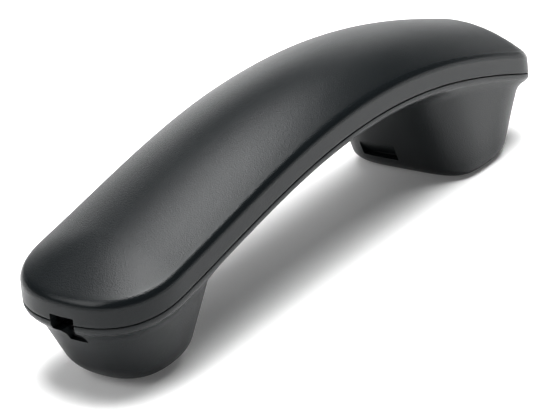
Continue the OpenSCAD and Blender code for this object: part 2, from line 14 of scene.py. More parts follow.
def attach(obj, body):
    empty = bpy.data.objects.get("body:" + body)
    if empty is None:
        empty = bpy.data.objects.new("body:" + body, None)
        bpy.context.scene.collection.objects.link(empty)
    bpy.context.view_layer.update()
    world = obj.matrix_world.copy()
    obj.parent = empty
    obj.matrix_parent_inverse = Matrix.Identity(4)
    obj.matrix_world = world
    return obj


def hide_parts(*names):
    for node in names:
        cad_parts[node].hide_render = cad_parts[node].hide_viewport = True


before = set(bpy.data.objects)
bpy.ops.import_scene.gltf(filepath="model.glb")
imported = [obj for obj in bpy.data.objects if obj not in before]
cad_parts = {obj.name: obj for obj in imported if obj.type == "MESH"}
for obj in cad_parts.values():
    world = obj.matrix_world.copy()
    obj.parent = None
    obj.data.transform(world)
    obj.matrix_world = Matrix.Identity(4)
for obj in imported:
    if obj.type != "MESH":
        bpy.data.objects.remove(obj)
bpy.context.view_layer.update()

MM = 0.001

# ---------------------------------------------------------------- camera

CAMERA_AT = (-0.48738, -0.36536, 0.28381)
CAMERA_AZIMUTH, CAMERA_ELEVATION, CAMERA_ROLL = map(math.radians, (-52.519, 23.951, -5.556))
SENSOR_WIDTH = 36
LENS = 149.13
NEAREST, FARTHEST = 0.05, 20


def stand_camera():
    """Camera whose back axis is (sin az cos el, -cos az cos el, sin el), rolled about that axis."""
    az, el, roll = CAMERA_AZIMUTH, CAMERA_ELEVATION, CAMERA_ROLL
    back = Vector((math.sin(az) * math.cos(el), -math.cos(az) * math.cos(el), math.sin(el)))
    side = Vector((math.cos(az), math.sin(az), 0))
    lift = back.cross(side)
    right = side * math.cos(roll) + lift * math.sin(roll)
    up = lift * math.cos(roll) - side * math.sin(roll)
    data = bpy.data.cameras.new("camera")
    data.sensor_width, data.lens = SENSOR_WIDTH, LENS
    data.clip_start, data.clip_end = NEAREST, FARTHEST
    camera = bpy.data.objects.new("camera", data)
    turn = Matrix((right, up, back)).transposed().to_4x4()
    camera.matrix_world = Matrix.Translation(CAMERA_AT) @ turn
    bpy.context.scene.collection.objects.link(camera)
    bpy.context.scene.camera = camera


stand_camera()

# ---------------------------------------------------------------- case curves, in millimetres

LENGTH = 211
HALF_WIDTH = 24
WALL = 2.2
NEAR_TIP, FAR_TIP = -LENGTH / 2, LENGTH / 2
NEAR_ROUND, FAR_ROUND = 22.4, 15.8
NEAR_POLE, FAR_POLE = NEAR_TIP + NEAR_ROUND, FAR_TIP - FAR_ROUND
NEAR_POWER, FAR_POWER = 2.45, 2.7
PART_HEIGHTS = (23.3, 33.5, 40.9, 35.7, 19.6)
CROWN_HEIGHTS = (5.4, 7.6, 7.6)
SIDE_HEIGHT = 4.73
SIDE_DRAFT = 0.1
EDGE_RADIUS = 3
EDGE_TURN = math.radians(60)
EDGE_RISE = EDGE_RADIUS * math.sin(EDGE_TURN)
LIP = 2
GRIP_DEPTH = 8.4
LIP_ROUND = 1.3
BOWL_BLEND = 3

# Each bowl: centre x, half length, half width, spread a millimetre of its two ends, the same of its side,
# powers of its two ends and how much the second grows a millimetre, foot radius.
EAR_BOWL = (75, 18.1, 22.4, (0.45, 0.56), 0.04, (4.4, 2.1, 0.043), 4.5)
MOUTH_BOWL = (-80.5, 13.5, 14.2, (0.46, 0.33), 0.34, (2.4, 2.4, 0), 7)

CAPSULE_X = 76.3
MIC_X = -80.5
SCREW_XS = (-52, 35)


def lagrange(t, heights):
    """Polynomial in t that takes each height at t = 0, 1, 2 ...: the sum of each height times the product
    of (t - k) / (j - k) over the other places k."""
    total = 0
    for j, height in enumerate(heights):
        others = [k for k in range(len(heights)) if k != j]
        total = total + height * np.prod([(t - k) / (j - k) for k in others], axis=0)
    return total


def part_line(x):
    """Height of the line where the two halves of the case meet: a quartic through five heights."""
    return lagrange(4 * (x - NEAR_TIP) / LENGTH, PART_HEIGHTS)


def crown_rise(x):
    """Rise of the back above its rounded edge: a parabola through three heights."""
    return lagrange(2 * (x - NEAR_TIP) / LENGTH, CROWN_HEIGHTS)


def gauge(x, y, inset=0):
    """0 on the centre line and 1 on the outline drawn in by inset: |y| over half width between the poles,
    and the superellipse ((dx/a)^p + (|y|/b)^p)^(1/p) beyond them."""
    across = np.abs(y) / (HALF_WIDTH - inset)
    near = (np.maximum(NEAR_POLE - x, 0) / (NEAR_ROUND - inset)) ** NEAR_POWER
    far = (np.maximum(x - FAR_POLE, 0) / (FAR_ROUND - inset)) ** FAR_POWER
    ended = np.where(x < NEAR_POLE, (near + across ** NEAR_POWER) ** (1 / NEAR_POWER), across)
    return np.where(x > FAR_POLE, (far + across ** FAR_POWER) ** (1 / FAR_POWER), ended)


def soft_min(a, b, width):
    """Smaller of a and b, rounded by max(width - |a - b|, 0)^2 / (4 width) where they cross."""
    return np.minimum(a, b) - np.maximum(width - np.abs(a - b), 0) ** 2 / (4 * width)


def soft_max(a, b, width):
    """Larger of a and b, rounded the same way."""
    return -soft_min(-a, -b, width)


def foot_inset(height, radius):
    """How far a rounded foot draws in at a height: radius (1 - sqrt(1 - (1 - height/radius)^2))."""
    share = 1 - np.clip(height / radius, 0, 1)
    return radius * (1 - np.sqrt(np.maximum(1 - share ** 2, 0)))


def bowl(x, y, z, inset, shape):
    """Signed size of a bowl, negative inside: a superellipse whose half length and width spread with
    height, drawn in at the foot by its rounding, and cut level at the face."""
    centre, half_l, half_w, spread, side_spread, power, radius = shape
    drawn = foot_inset(z - inset, max(radius - inset, 1)) + inset
    height = np.maximum(z, 0)
    length = half_l + np.where(x < centre, spread[0], spread[1]) * height - drawn
    width = half_w + side_spread * height - drawn
    p = np.where(x < centre, power[0], power[1] + power[2] * height)
    ring = (np.abs(x - centre) / length) ** p + (np.abs(y) / width) ** p
    return np.maximum((ring ** (1 / p) - 1) * width, inset - z)


def front_body(x, y, z, inset=0):
    """Signed size of the lower half: inside the outline, and inside the softly joined grip and bowls.
    The underside of the grip is an upright lip, then a shallow arc to the centre line."""
    arc = (GRIP_DEPTH - LIP) * (1 - gauge(x, y) ** 2)
    grip = part_line(x) - z + inset - LIP - arc
    under = soft_min(soft_min(grip, bowl(x, y, z, inset, EAR_BOWL), BOWL_BLEND),
                     bowl(x, y, z, inset, MOUTH_BOWL), BOWL_BLEND)
    side = (gauge(x, y, inset) - 1) * HALF_WIDTH
    return soft_max(side, under, LIP_ROUND) if inset == 0 else np.maximum(side, under)


def packed(low, high, count, peaks):
    """count values from low to high, closer together near each peak: equal steps of the running sum of
    1 + strength exp(-((x - centre)/reach)^2)."""
    x = np.linspace(low, high, 4000)
    density = 1 + sum(strength * np.exp(-((x - centre) / reach) ** 2) for centre, reach, strength in peaks)
    run = np.concatenate([[0], np.cumsum((density[1:] + density[:-1]) / 2)])
    return np.interp(np.linspace(0, run[-1], count), run, x)


# stations round each end, and between the ends
FAN = 44
MIDDLE = packed(NEAR_POLE, FAR_POLE, 210, [(-60, 7, 1.6), (52, 7, 2.2)])


def outline(inset):
    """Closed outline drawn in by inset, as arrays (ray origin x, x, y): each end is a superellipse
    pole -+ (round - inset) cos(a)^(2/p), (half width - inset) sin(a)^(2/p), and the sides are straight."""
    a = np.linspace(0, math.pi / 2, FAN, endpoint=False)
    wide = HALF_WIDTH - inset
    near_x = NEAR_POLE - (NEAR_ROUND - inset) * np.cos(a) ** (2 / NEAR_POWER)
    far_x = (FAR_POLE + (FAR_ROUND - inset) * np.cos(a) ** (2 / FAR_POWER))[::-1]
    near_y = wide * np.sin(a) ** (2 / NEAR_POWER)
    far_y = (wide * np.sin(a) ** (2 / FAR_POWER))[::-1]
    origin = np.concatenate([np.full(FAN, NEAR_POLE), MIDDLE, np.full(FAN, FAR_POLE)])
    x = np.concatenate([near_x, MIDDLE, far_x])
    y = -np.concatenate([near_y, np.full(len(MIDDLE), wide), far_y])
    back = slice(-2, 0, -1)
    return (np.concatenate([origin, origin[back]]), np.concatenate([x, x[back]]),
            np.concatenate([y, -y[back]]))


def ring(inset, rise, draw=0):
    """Outline drawn in by inset, moved draw millimetres along the rays to the spine, rise above the parting
    line."""
    origin, x, y = outline(inset)
    q = 1 - draw / np.hypot(x - origin, y)
    px = origin + q * (x - origin)
    return np.stack([px, q * y, part_line(px) + rise], -1)


CROWN_STEPPING = 1.15


def crown_rows(inset, base, start, count):
    """Rings of the crowned back from its edge to the spine: rise base + crown (1 - (q/q0)^2), where q falls
    from q0, the edge drawn in by start, to 0, in steps that widen a little towards the spine."""
    origin, x, y = outline(inset)
    edge = 1 - start / np.hypot(x - origin, y)
    rows = []
    for share in np.linspace(1, 0, count) ** CROWN_STEPPING:
        q = edge * share
        px = origin + q * (x - origin)
        rise = base + crown_rise(px) * (1 - share ** 2)
        rows.append(np.stack([px, q * y, part_line(px) + rise], -1))
    return rows


RAY_REACH = 1.6
HALVINGS = 26


def skin_rows(inset, turns):
    """Rings of the lower half's skin: rays from the spine at the parting height, turned from the outline
    towards straight down, each ended where front_body changes sign. The share of the ray is found by
    halving the stretch that holds the change."""
    origin, x, y = outline(inset)
    top = part_line(origin)
    start = np.stack([origin, np.zeros_like(origin), top], -1)
    rows = []
    for turn in turns:
        ray = np.stack([(x - origin) * math.cos(turn), y * math.cos(turn),
                        (part_line(x) - top) * math.cos(turn) - top * math.sin(turn)], -1)
        low, high = np.zeros_like(origin), np.full_like(origin, RAY_REACH)
        for _ in range(HALVINGS):
            middle = (low + high) / 2
            inside = front_body(*(start + ray * middle[:, None]).T, inset) < 0
            low, high = np.where(inside, middle, low), np.where(inside, high, middle)
        rows.append(start + ray * low[:, None])
    return rows


# ---------------------------------------------------------------- mesh makers

SHARP = math.radians(32)


# metres
SAME_POINT = 1e-6


def put_mesh(name, points, faces):
    """Mesh object from points in millimetres and faces: doubles merged, and faces turned outwards."""
    mesh = bpy.data.meshes.new(name)
    mesh.from_pydata((np.asarray(points, float) * MM).tolist(), [], faces)
    work = bmesh.new()
    work.from_mesh(mesh)
    bmesh.ops.remove_doubles(work, verts=work.verts, dist=SAME_POINT)
    bmesh.ops.dissolve_degenerate(work, edges=work.edges, dist=SAME_POINT / 10)
    bmesh.ops.recalc_face_normals(work, faces=work.faces)
    work.to_mesh(mesh)
    work.free()
    piece = bpy.data.objects.new(name, mesh)
    bpy.context.scene.collection.objects.link(piece)
    return piece


def grid_faces(rows, columns):
    """Quads between neighbouring rings of a grid whose columns close on themselves."""
    j, k = np.arange(rows - 1)[:, None] * columns, np.arange(columns)[None, :]
    beside = (k + 1) % columns
    quads = np.stack([j + k, j + beside, j + columns + beside, j + columns + k], -1)
    return quads.reshape(-1, 4).tolist()


def ring_skin(name, rows):
    """Closed skin through rings of equal count. The first and last ring each fold shut on themselves."""
    grid = np.stack(rows)
    return put_mesh(name, grid.reshape(-1, 3), grid_faces(len(rows), grid.shape[1]))


def turned(name, profile, centre=(0, 0, 0), sides=48):
    """Profile of (radius, height) pairs spun about the upright axis through centre: x = r cos a,
    y = r sin a."""
    profile = np.asarray(profile, float)
    a = np.linspace(0, 2 * math.pi, sides, endpoint=False)
    r, z = profile[:, :1], profile[:, 1:]
    grid = np.stack([r * np.cos(a), r * np.sin(a), z + 0 * a], -1) + np.asarray(centre, float)
    return put_mesh(name, grid.reshape(-1, 3), grid_faces(len(profile), sides))


def prism(name, corners, width, axis, start=0.0, bevel=0.0):
    """Outline of corners, in the two other coordinates, carried width along an axis from start."""
    corners = np.asarray(corners, float)
    ends = [np.insert(corners, axis, start + side, axis=1) for side in (0, width)]
    n = len(corners)
    faces = [list(range(n))[::-1], list(range(n, 2 * n))]
    faces += [[k, (k + 1) % n, n + (k + 1) % n, n + k] for k in range(n)]
    piece = put_mesh(name, np.concatenate(ends), faces)
    if bevel:
        edge = piece.modifiers.new("rounding", "BEVEL")
        edge.width, edge.segments, edge.limit_method = bevel * MM, 3, "ANGLE"
        bake(piece)
    return piece


def bake(piece):
    """Replaces the piece's mesh with what its modifiers make of it."""
    bpy.context.view_layer.update()
    made = bpy.data.meshes.new_from_object(piece.evaluated_get(bpy.context.evaluated_depsgraph_get()))
    piece.modifiers.clear()
    old, piece.data = piece.data, made
    bpy.data.meshes.remove(old)


def joined(pieces):
    """One object that holds the meshes of several."""
    work = bmesh.new()
    for piece in pieces:
        work.from_mesh(piece.data)
    mesh = bpy.data.meshes.new(pieces[0].name)
    work.to_mesh(mesh)
    work.free()
    whole = bpy.data.objects.new(pieces[0].name, mesh)
    bpy.context.scene.collection.objects.link(whole)
    for piece in pieces:
        bpy.data.objects.remove(piece)
    return whole


def combine(piece, operation, tools):
    """Adds (UNION) or cuts (DIFFERENCE) tools that don't touch each other."""
    tool = joined(tools)
    step = piece.modifiers.new("step", "BOOLEAN")
    step.operation, step.object, step.solver = operation, tool, "MANIFOLD"
    bake(piece)
    bpy.data.objects.remove(tool)


def smooth(piece):
    """Smooth shading, with edges sharper than SHARP kept crisp."""
    piece.data.shade_smooth()
    piece.data.set_sharp_from_angle(angle=SHARP)


def finish_mesh(piece):
    """Merges stray doubles that a cut leaves."""
    work = bmesh.new()
    work.from_mesh(piece.data)
    bmesh.ops.remove_doubles(work, verts=work.verts, dist=SAME_POINT * 2)
    bmesh.ops.dissolve_degenerate(work, edges=work.edges, dist=SAME_POINT)
    work.to_mesh(piece.data)
    work.free()


def mark(piece, name, values):
    """Stores one number per vertex for the finish to read."""
    attribute = piece.data.attributes.new(name, "FLOAT", "POINT")
    attribute.data.foreach_set("value", np.asarray(values, np.float32))


def points_of(piece):
    """Vertex positions in millimetres, as columns x, y, z."""
    co = np.empty(len(piece.data.vertices) * 3, np.float32)
    piece.data.vertices.foreach_get("co", co)
    return co.reshape(-1, 3).astype(float).T / MM


# ---------------------------------------------------------------- shader maths


class Socket:
    """A number socket of a material. Each operator adds one Math node."""

    def __init__(self, paint, socket):
        self.paint, self.socket = paint, socket

    def math(self, operation, *values, clamp=False):
        """This socket and other values, through one Math node."""
        settings = {"operation": operation, "use_clamp": clamp}
        return self.paint.node("ShaderNodeMath", settings, dict(enumerate((self, *values))))[0]

    def __add__(self, other):
        return self.math("ADD", other)

    def __sub__(self, other):
        return self.math("SUBTRACT", other)

    def __rsub__(self, other):
        return self.paint.node("ShaderNodeMath", {"operation": "SUBTRACT"}, {0: other, 1: self})[0]

    def __mul__(self, other):
        return self.math("MULTIPLY", other)

    def __truediv__(self, other):
        return self.math("DIVIDE", other)

    __radd__, __rmul__ = __add__, __mul__

    def sine(self):
        """Sine of it, in radians."""
        return self.math("SINE")

    def root(self):
        """Its square root."""
        return self.math("POWER", 0.5)

    def held(self):
        """It, kept between 0 and 1."""
        return self.math("ADD", 0, clamp=True)


class Paint:
    """The node tree of a new material, or of a world that is handed over."""

    def __init__(self, name, owner=None):
        self.owner = owner or bpy.data.materials.new(name)
        self.owner.use_nodes = True
        self.tree = self.owner.node_tree
        self.tree.nodes.clear()

    def node(self, kind, settings=None, sockets=None):
        """Adds a node: its settings first, where stops are a ramp's (place, grey) pairs, then its sockets
        by name or number. Returns its outputs by number or name."""
        made = self.tree.nodes.new(kind)
        for name, value in (settings or {}).items():
            if name == "stops":
                ramp = made.color_ramp
                while len(ramp.elements) < len(value):
                    ramp.elements.new(0.5)
                for element, (place, grey) in zip(ramp.elements, value):
                    element.position, element.color = place, (grey, grey, grey, 1)
            else:
                setattr(made, name, value)
        for name, value in (sockets or {}).items():
            if isinstance(value, Socket):
                self.tree.links.new(value.socket, made.inputs[name])
            else:
                made.inputs[name].default_value = value
        return Outputs(self, made.outputs)

    def place(self):
        """The piece's own coordinates, in metres."""
        return self.node("ShaderNodeTexCoord")["Object"]

    def noise(self, scale, detail=2, rough=0.5, stretch=None):
        """Noise with scale features a metre, stretched by a factor along each axis."""
        place = self.place()
        if stretch:
            place = self.node("ShaderNodeVectorMath", {"operation": "MULTIPLY"}, {0: place, 1: stretch})[0]
        return self.node("ShaderNodeTexNoise", None, {
            "Vector": place, "Scale": scale, "Detail": detail, "Roughness": rough})[0]

    def cells(self, scale):
        """Distance to the nearest of scale scattered points a metre."""
        return self.node("ShaderNodeTexVoronoi", None, {"Vector": self.place(), "Scale": scale})["Distance"]

    def axes(self):
        """The piece's x, y and z as three numbers."""
        return self.node("ShaderNodeSeparateXYZ", None, {0: self.place()})

    def stored(self, name):
        """A number marked on the mesh."""
        return self.node("ShaderNodeAttribute", {"attribute_name": name})["Fac"]

    def between(self, share, low, high):
        """Colour that runs from low to high with share."""
        return self.node("ShaderNodeMix", {"data_type": "RGBA"}, {
            "Factor": share, 6: (*low, 1), 7: (*high, 1)})[2]

    def bump(self, height, depth, strength=1.0, under=None):
        """Normal pushed out by height times depth metres."""
        sockets = {"Height": height, "Distance": depth, "Strength": strength}
        if under is not None:
            sockets["Normal"] = under
        return self.node("ShaderNodeBump", None, sockets)["Normal"]

    def surface(self, sockets):
        """Ends the tree in a Principled shader with these sockets."""
        shader = self.node("ShaderNodeBsdfPrincipled", None, sockets)["BSDF"]
        self.node("ShaderNodeOutputMaterial", None, {"Surface": shader})
        return self.owner


class Outputs:
    """A node's outputs as Sockets."""

    def __init__(self, paint, outputs):
        self.paint, self.outputs = paint, outputs

    def __getitem__(self, name):
        return Socket(self.paint, self.outputs[name])


# ---------------------------------------------------------------- finishes


def moulded_case():
    """Charcoal ABS from a fine spark-eroded tool: grain, pits and mottling, smoother where hands have
    rubbed it."""
    p = Paint("moulded_case")
    grain = p.noise(5200, 3, 0.62)
    pits = p.cells(2600)
    coarse = p.noise(1500, 2, 0.6)
    cloud = p.noise(34, 4, 0.55)
    rubbed = p.stored("rubbed")
    shade = (cloud * 0.7 + grain * 0.3).held()
    colour = p.between(shade, (0.0052, 0.0072, 0.0084), (0.0095, 0.0118, 0.0130))
    gloss = 0.37 + (cloud - 0.5) * 0.05 + (grain - 0.5) * 0.14 - rubbed * 0.19
    height = grain * 0.4 + pits * 0.25 + coarse * 0.35
    waves = p.bump(p.noise(60, 1, 0.4), 0.00002, 0.3)
    return p.surface({"Base Color": colour, "Roughness": gloss.held(),
                      "IOR": 1.50, "Specular IOR Level": 0.35,
                      "Normal": p.bump(height * (1 - rubbed * 0.7), 0.00018, 0.8, waves)})


def smooth_plastic(name, low, high, rough):
    """Glossier moulded plastic: faint flow lines along the tool and a light orange peel."""
    p = Paint(name)
    flow = p.noise(120, 4, 0.6, (0.25, 1, 1))
    peel = p.noise(1400, 2)
    return p.surface({"Base Color": p.between(flow, low, high),
                      "Roughness": (rough + (flow - 0.5) * 0.15).held(),
                      "Normal": p.bump(peel, 0.00001, 0.4)})


def metal(name, low, high, rough, stretch, fine=900):
    """Worked metal: tool marks drawn out along one direction, with dull patches between bright ones."""
    p = Paint(name)
    marks = p.noise(fine, 5, 0.65, stretch)
    patch = p.noise(160, 3)
    return p.surface({"Base Color": p.between((marks * 0.5 + patch * 0.5).held(), low, high),
                      "Metallic": 1.0,
                      "Roughness": (rough + (marks - 0.5) * 0.22 + (patch - 0.5) * 0.12).held(),
                      "Normal": p.bump(marks, 0.000012, 0.5)})


def woven(name, low, high, threads):
    """Plain weave: sin(x) sin(y) over and under, threads a metre, with fibres along it, and painted shade
    where the threads dip.
    """
    p = Paint(name)
    axes = p.axes()
    over = (axes["X"] * (threads * math.pi)).sine() * (axes["Y"] * (threads * math.pi)).sine()
    fibre = p.noise(6000, 3)
    lift = (over * 0.5 + 0.5) * 0.8 + fibre * 0.2
    # the colour follows the threads' rise: painted shade where they dip under, mixed with the fibres' own
    # tone
    return p.surface({"Base Color": p.between(lift.held(), low, high),
                      "Roughness": 0.9 - lift * 0.15, "Sheen Weight": 0.25,
                      "Normal": p.bump(lift, 0.00012, 0.8)})


def foamed(name, low, high, scale, rough=0.9):
    """Foam or rubber: cells of two sizes, with painted shade in their hollows."""
    p = Paint(name)
    cells = (p.cells(scale) * 0.7 + p.cells(scale * 2.3) * 0.3).held()
    # the colour darkens towards the cells' edges, where the bump sinks: painted shade in the hollows
    return p.surface({"Base Color": p.between(cells, high, low),
                      "Roughness": (rough + (cells - 0.5) * 0.1).held(),
                      "Normal": p.bump(1 - cells, 0.00015, 0.7)})


def film_sheet():
    """Thin pale polyester film with a faint haze."""
    p = Paint("diaphragm_film")
    haze = p.noise(240, 4)
    return p.surface({"Base Color": p.between(haze, (0.62, 0.55, 0.42), (0.78, 0.73, 0.60)),
                      "Roughness": (0.28 + (haze - 0.5) * 0.2).held(), "Coat Weight": 0.4,
                      "Normal": p.bump(haze, 0.00004, 0.5)})


def wound_wire():
    """Varnished copper winding: one turn every tenth of a millimetre up the coil, with painted shade
    between the turns.
    """
    p = Paint("coil_winding")
    wire = 0.0001
    turns = (p.axes()["Z"] * (2 * math.pi / wire)).sine() * 0.5 + 0.5
    varnish = p.noise(400, 3)
    # the copper darkens in the grooves between turns, where the bump sinks: painted shade, mixed with the
    # varnish's own tone
    copper = p.between((turns * 0.7 + varnish * 0.3).held(), (0.32, 0.12, 0.04), (0.72, 0.34, 0.14))
    return p.surface({"Base Color": copper, "Metallic": 0.9, "Roughness": (0.3 + varnish * 0.15).held(),
                      "Coat Weight": 0.5, "Normal": p.bump(turns, 0.00003, 0.8)})


def circuit_board():
    """Green solder mask over faint copper tracks and glass weave."""
    p = Paint("circuit_board")
    axes = p.axes()
    track = ((axes["Y"] * 2600).sine() * 4).held() * ((p.noise(180, 0) - 0.45) * 12).held()
    glass = (axes["X"] * 9000).sine() * (axes["Y"] * 9000).sine() * 0.5 + 0.5
    mask = p.between((track * 0.7 + glass * 0.3).held(), (0.012, 0.07, 0.022), (0.05, 0.22, 0.07))
    return p.surface({"Base Color": mask, "Roughness": (0.32 + glass * 0.1).held(), "Coat Weight": 0.5,
                      "Normal": p.bump(track * 0.8 + glass * 0.2, 0.00003, 0.6)})


def wire_jacket(name, low, high):
    """Soft PVC insulation with light scuffs."""
    p = Paint(name)
    scuff = p.noise(700, 4, 0.65)
    return p.surface({"Base Color": p.between(scuff, low, high),
                      "Roughness": (0.36 + (scuff - 0.5) * 0.25).held(),
                      "Normal": p.bump(scuff, 0.00001, 0.5)})


CASE = moulded_case()
FINISHES = {
    "inner_plastic": smooth_plastic("inner_plastic", (0.018, 0.018, 0.020), (0.034, 0.034, 0.037), 0.45),
    "jack_plastic": smooth_plastic("jack_plastic", (0.012, 0.012, 0.013), (0.022, 0.022, 0.024), 0.5),
    "screw_steel": metal("zinc_plated_screw", (0.42, 0.42, 0.40), (0.62, 0.62, 0.58), 0.34, (1, 1, 0.2)),
    "soft_steel": metal("turned_steel", (0.40, 0.40, 0.41), (0.58, 0.58, 0.60), 0.38, (1, 1, 0.15)),
    "weight_steel": metal("sawn_steel", (0.26, 0.25, 0.24), (0.46, 0.45, 0.44), 0.48, (0.08, 1, 1)),
    "magnet": metal("sintered_magnet", (0.16, 0.16, 0.17), (0.30, 0.30, 0.32), 0.52, (1, 1, 1), 2400),
    "mic_aluminium": metal("drawn_aluminium", (0.60, 0.60, 0.61), (0.78, 0.78, 0.79), 0.32, (1, 1, 0.12)),
    "contact_gold": metal("gold_plated_wire", (0.62, 0.42, 0.14), (0.86, 0.62, 0.26), 0.24,
                          (0.15, 1, 1), 3000),
    "coil_wire": wound_wire(),
    "film": film_sheet(),
    "cloth": woven("acoustic_cloth", (0.008, 0.008, 0.009), (0.03, 0.03, 0.032), 2200),
    "foam": foamed("closed_foam", (0.020, 0.020, 0.022), (0.06, 0.06, 0.062), 1800),
    "boot_rubber": foamed("boot_rubber", (0.014, 0.014, 0.014), (0.026, 0.026, 0.026), 5200, 0.72),
    "board": circuit_board(),
    "pad": foamed("weight_pad", (0.52, 0.51, 0.46), (0.72, 0.71, 0.66), 1500),
    "lead_red": wire_jacket("lead_red", (0.36, 0.020, 0.016), (0.52, 0.035, 0.026)),
    "lead_green": wire_jacket("lead_green", (0.02, 0.16, 0.045), (0.04, 0.26, 0.075)),
    "lead_black": wire_jacket("lead_black", (0.010, 0.010, 0.010), (0.022, 0.022, 0.022)),
    "lead_yellow": wire_jacket("lead_yellow", (0.52, 0.34, 0.02), (0.70, 0.48, 0.04)),
}
NODE_FINISH = {
    "screw_steel": ["cover_screws"],
    "cloth": ["ear_cloth", "mic_cloth"],
    "foam": ["ear_gasket"],
    "inner_plastic": ["receiver_cap", "receiver_frame"],
    "film": ["receiver_surround", "receiver_dome"],
    "coil_wire": ["voice_coil"],
    "soft_steel": ["receiver_yoke", "receiver_pole_plate"],
    "magnet": ["receiver_magnet"],
    "board": ["receiver_terminals", "mic_board"],
    "boot_rubber": ["mic_boot"],
    "mic_aluminium": ["mic_can"],
    "jack_plastic": ["jack_housing"],
    "contact_gold": ["jack_tails", "contact_1", "contact_2", "contact_3", "contact_4"],
    "weight_steel": ["steel_weight"],
    "pad": ["weight_pad"],
    "lead_red": ["lead_red"],
    "lead_green": ["lead_green"],
    "lead_black": ["lead_black"],
    "lead_yellow": ["lead_yellow"],
}


def paint(piece, material):
    """Gives the piece one material on all its faces."""
    piece.data.materials.clear()
    piece.data.materials.append(material)
    piece.data.polygons.foreach_set("material_index", np.zeros(len(piece.data.polygons), np.int32))


for finish, nodes in NODE_FINISH.items():
    for node in nodes:
        paint(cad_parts[node], FINISHES[finish])

# ---------------------------------------------------------------- the two halves of the case

PART_GAP = 0.10
PART_ROUND = 0.28
PART_STEPS = 5
TONGUE_GAP, TONGUE_WIDTH, TONGUE_HEIGHT, TONGUE_CHAMFER = 0.1, 1.2, 1.6, 0.3
TONGUE_IN = WALL + TONGUE_GAP

JACK_HALF, JACK_LOW, JACK_TOP = 3.95, PART_HEIGHTS[0] - 2.6, PART_HEIGHTS[0] + 2
STEP_LOW, STEP_FROM, STEP_TO = PART_HEIGHTS[0] - 6.4, -4.6, 1.2
JACK_CUT_FROM, JACK_CUT_DEPTH, JACK_BEVEL = NEAR_TIP - 2, 7.4, 0.12

POST_RADIUS, PILOT_RADIUS, PILOT_END = 3.2, 1.2, 10.4
BOSS_RADIUS, BOSS_RISE = 4.5, 0.6
RIB_XS, RIB_HALF, RIB_THICK, RIB_TOP = (-24, 8), 7, 2, 36.2
SLOT_X, SLOT_Y, SLOT_THICK, SLOT_HALF, SLOT_REACH = 88, 12, 1, 1.7, 6

RECESS_LOW, RECESS_HIGH, RECESS_DEPTH = 5.4, 11.4, 3.4
RECESS_FROM, RECESS_WIDTH, RECESS_WALL = 0.1, 13.2, 1.5
RECESS_CLEAR, RECESS_BEVEL = 8, 0.45

# (radius, height) profiles: the first four stand on the floor, the last on the underside of the grip
EAR_HOLE = ((0, -1), (2.3, -1), (1, 0.3), (1, 3.4), (0, 3.4))
MIC_HOLE = ((0, -1), (1.9, -1), (0.8, 0.2), (0.8, 2.6), (0, 2.6))
MIC_PORT = ((0, 2.4), (3, 2.4), (3, 5), (0, 5))
MIC_COLLAR = ((0, 1.4), (7.6, 1.4), (7.6, 6.4), (6.2, 6.4), (6.2, 3), (0, 3))
SCREW_WELL = ((0, -2), (3.9, -2), (3.1, 0.5), (3.1, 3.2), (1.7, 3.2), (1.7, 14), (0, 14))

# holes in a ring, the ring's radius, and its turn in degrees
EAR_HOLE_RINGS = ((1, 0, 0), (6, 4.5, 0), (12, 9, 15))
MIC_HOLE_PITCH = 2
HOLE_SIDES = 24


def jack_opening():
    """Cutter for the jack: the slot and its step to one side, as one outline in Y-Z carried along X."""
    corners = [(-JACK_HALF, JACK_TOP), (-JACK_HALF, JACK_LOW), (STEP_FROM, JACK_LOW), (STEP_FROM, STEP_LOW),
               (STEP_TO, STEP_LOW), (STEP_TO, JACK_LOW), (JACK_HALF, JACK_LOW), (JACK_HALF, JACK_TOP)]
    return prism("jack_opening", corners, JACK_CUT_DEPTH, 0, JACK_CUT_FROM, JACK_BEVEL)


def parting_edge(side):
    """Rings of a half's rounded edge, from its outer wall in to the parting face: a quarter circle, above
    the parting line for side 1 and below it for side -1."""
    turns = np.linspace(math.pi / 2, 0, PART_STEPS)
    return [ring(0, side * (PART_GAP + PART_ROUND * (1 - math.cos(t))), PART_ROUND * (1 - math.sin(t)))
            for t in turns]


def edge_in(turn):
    """How far the back's rounded edge has drawn in after a turn: draft + radius (1 - cos turn)."""
    return SIDE_DRAFT + EDGE_RADIUS * (1 - math.cos(turn))


def make_cover():
    """Upper half: rounded parting edge, upright side, rounded edge, crowned back, the same inside, and
    posts."""
    base = SIDE_HEIGHT + EDGE_RISE
    inner = base - WALL
    rows = crown_rows(0, base, edge_in(EDGE_TURN), 44)[::-1]
    rows += [ring(0, SIDE_HEIGHT + EDGE_RADIUS * math.sin(t), edge_in(t))
             for t in np.linspace(EDGE_TURN, 0, 11)[1:]]
    rows += [ring(0, rise, SIDE_DRAFT * rise / SIDE_HEIGHT) for rise in (4.2, 2.6, 1.2)]
    rows += parting_edge(1)
    rows += [ring(WALL, PART_GAP), ring(WALL, SIDE_HEIGHT - WALL / 2, SIDE_DRAFT)]
    rows += crown_rows(WALL, inner, 1, 12)
    cover = ring_skin("back_cover", rows)
    posts = []
    for x in SCREW_XS:
        low, bore, top = BOSS_RISE, PILOT_END, inner + crown_rise(x) + 1
        posts.append(turned("post", [
            (PILOT_RADIUS, low), (POST_RADIUS, low), (POST_RADIUS, top), (0, top), (0, bore),
            (PILOT_RADIUS, bore), (PILOT_RADIUS, low)], (x, 0, part_line(x))))
    combine(cover, "UNION", posts)
    slot_z = part_line(SLOT_X) + inner + crown_rise(SLOT_X)
    corners = [(SLOT_Y + y * SLOT_HALF, slot_z + z * SLOT_REACH)
               for y, z in ((-1, -1), (1, -1), (1, 1), (-1, 1))]
    slot = prism("cover_slot", corners, SLOT_THICK, 0, SLOT_X - SLOT_THICK / 2)
    combine(cover, "DIFFERENCE", [jack_opening(), slot])
    return cover


def grip_side(z):
    """Where the ear bowl's wall towards the grip stands at a height."""
    return EAR_BOWL[0] - EAR_BOWL[1] - EAR_BOWL[3][0] * z


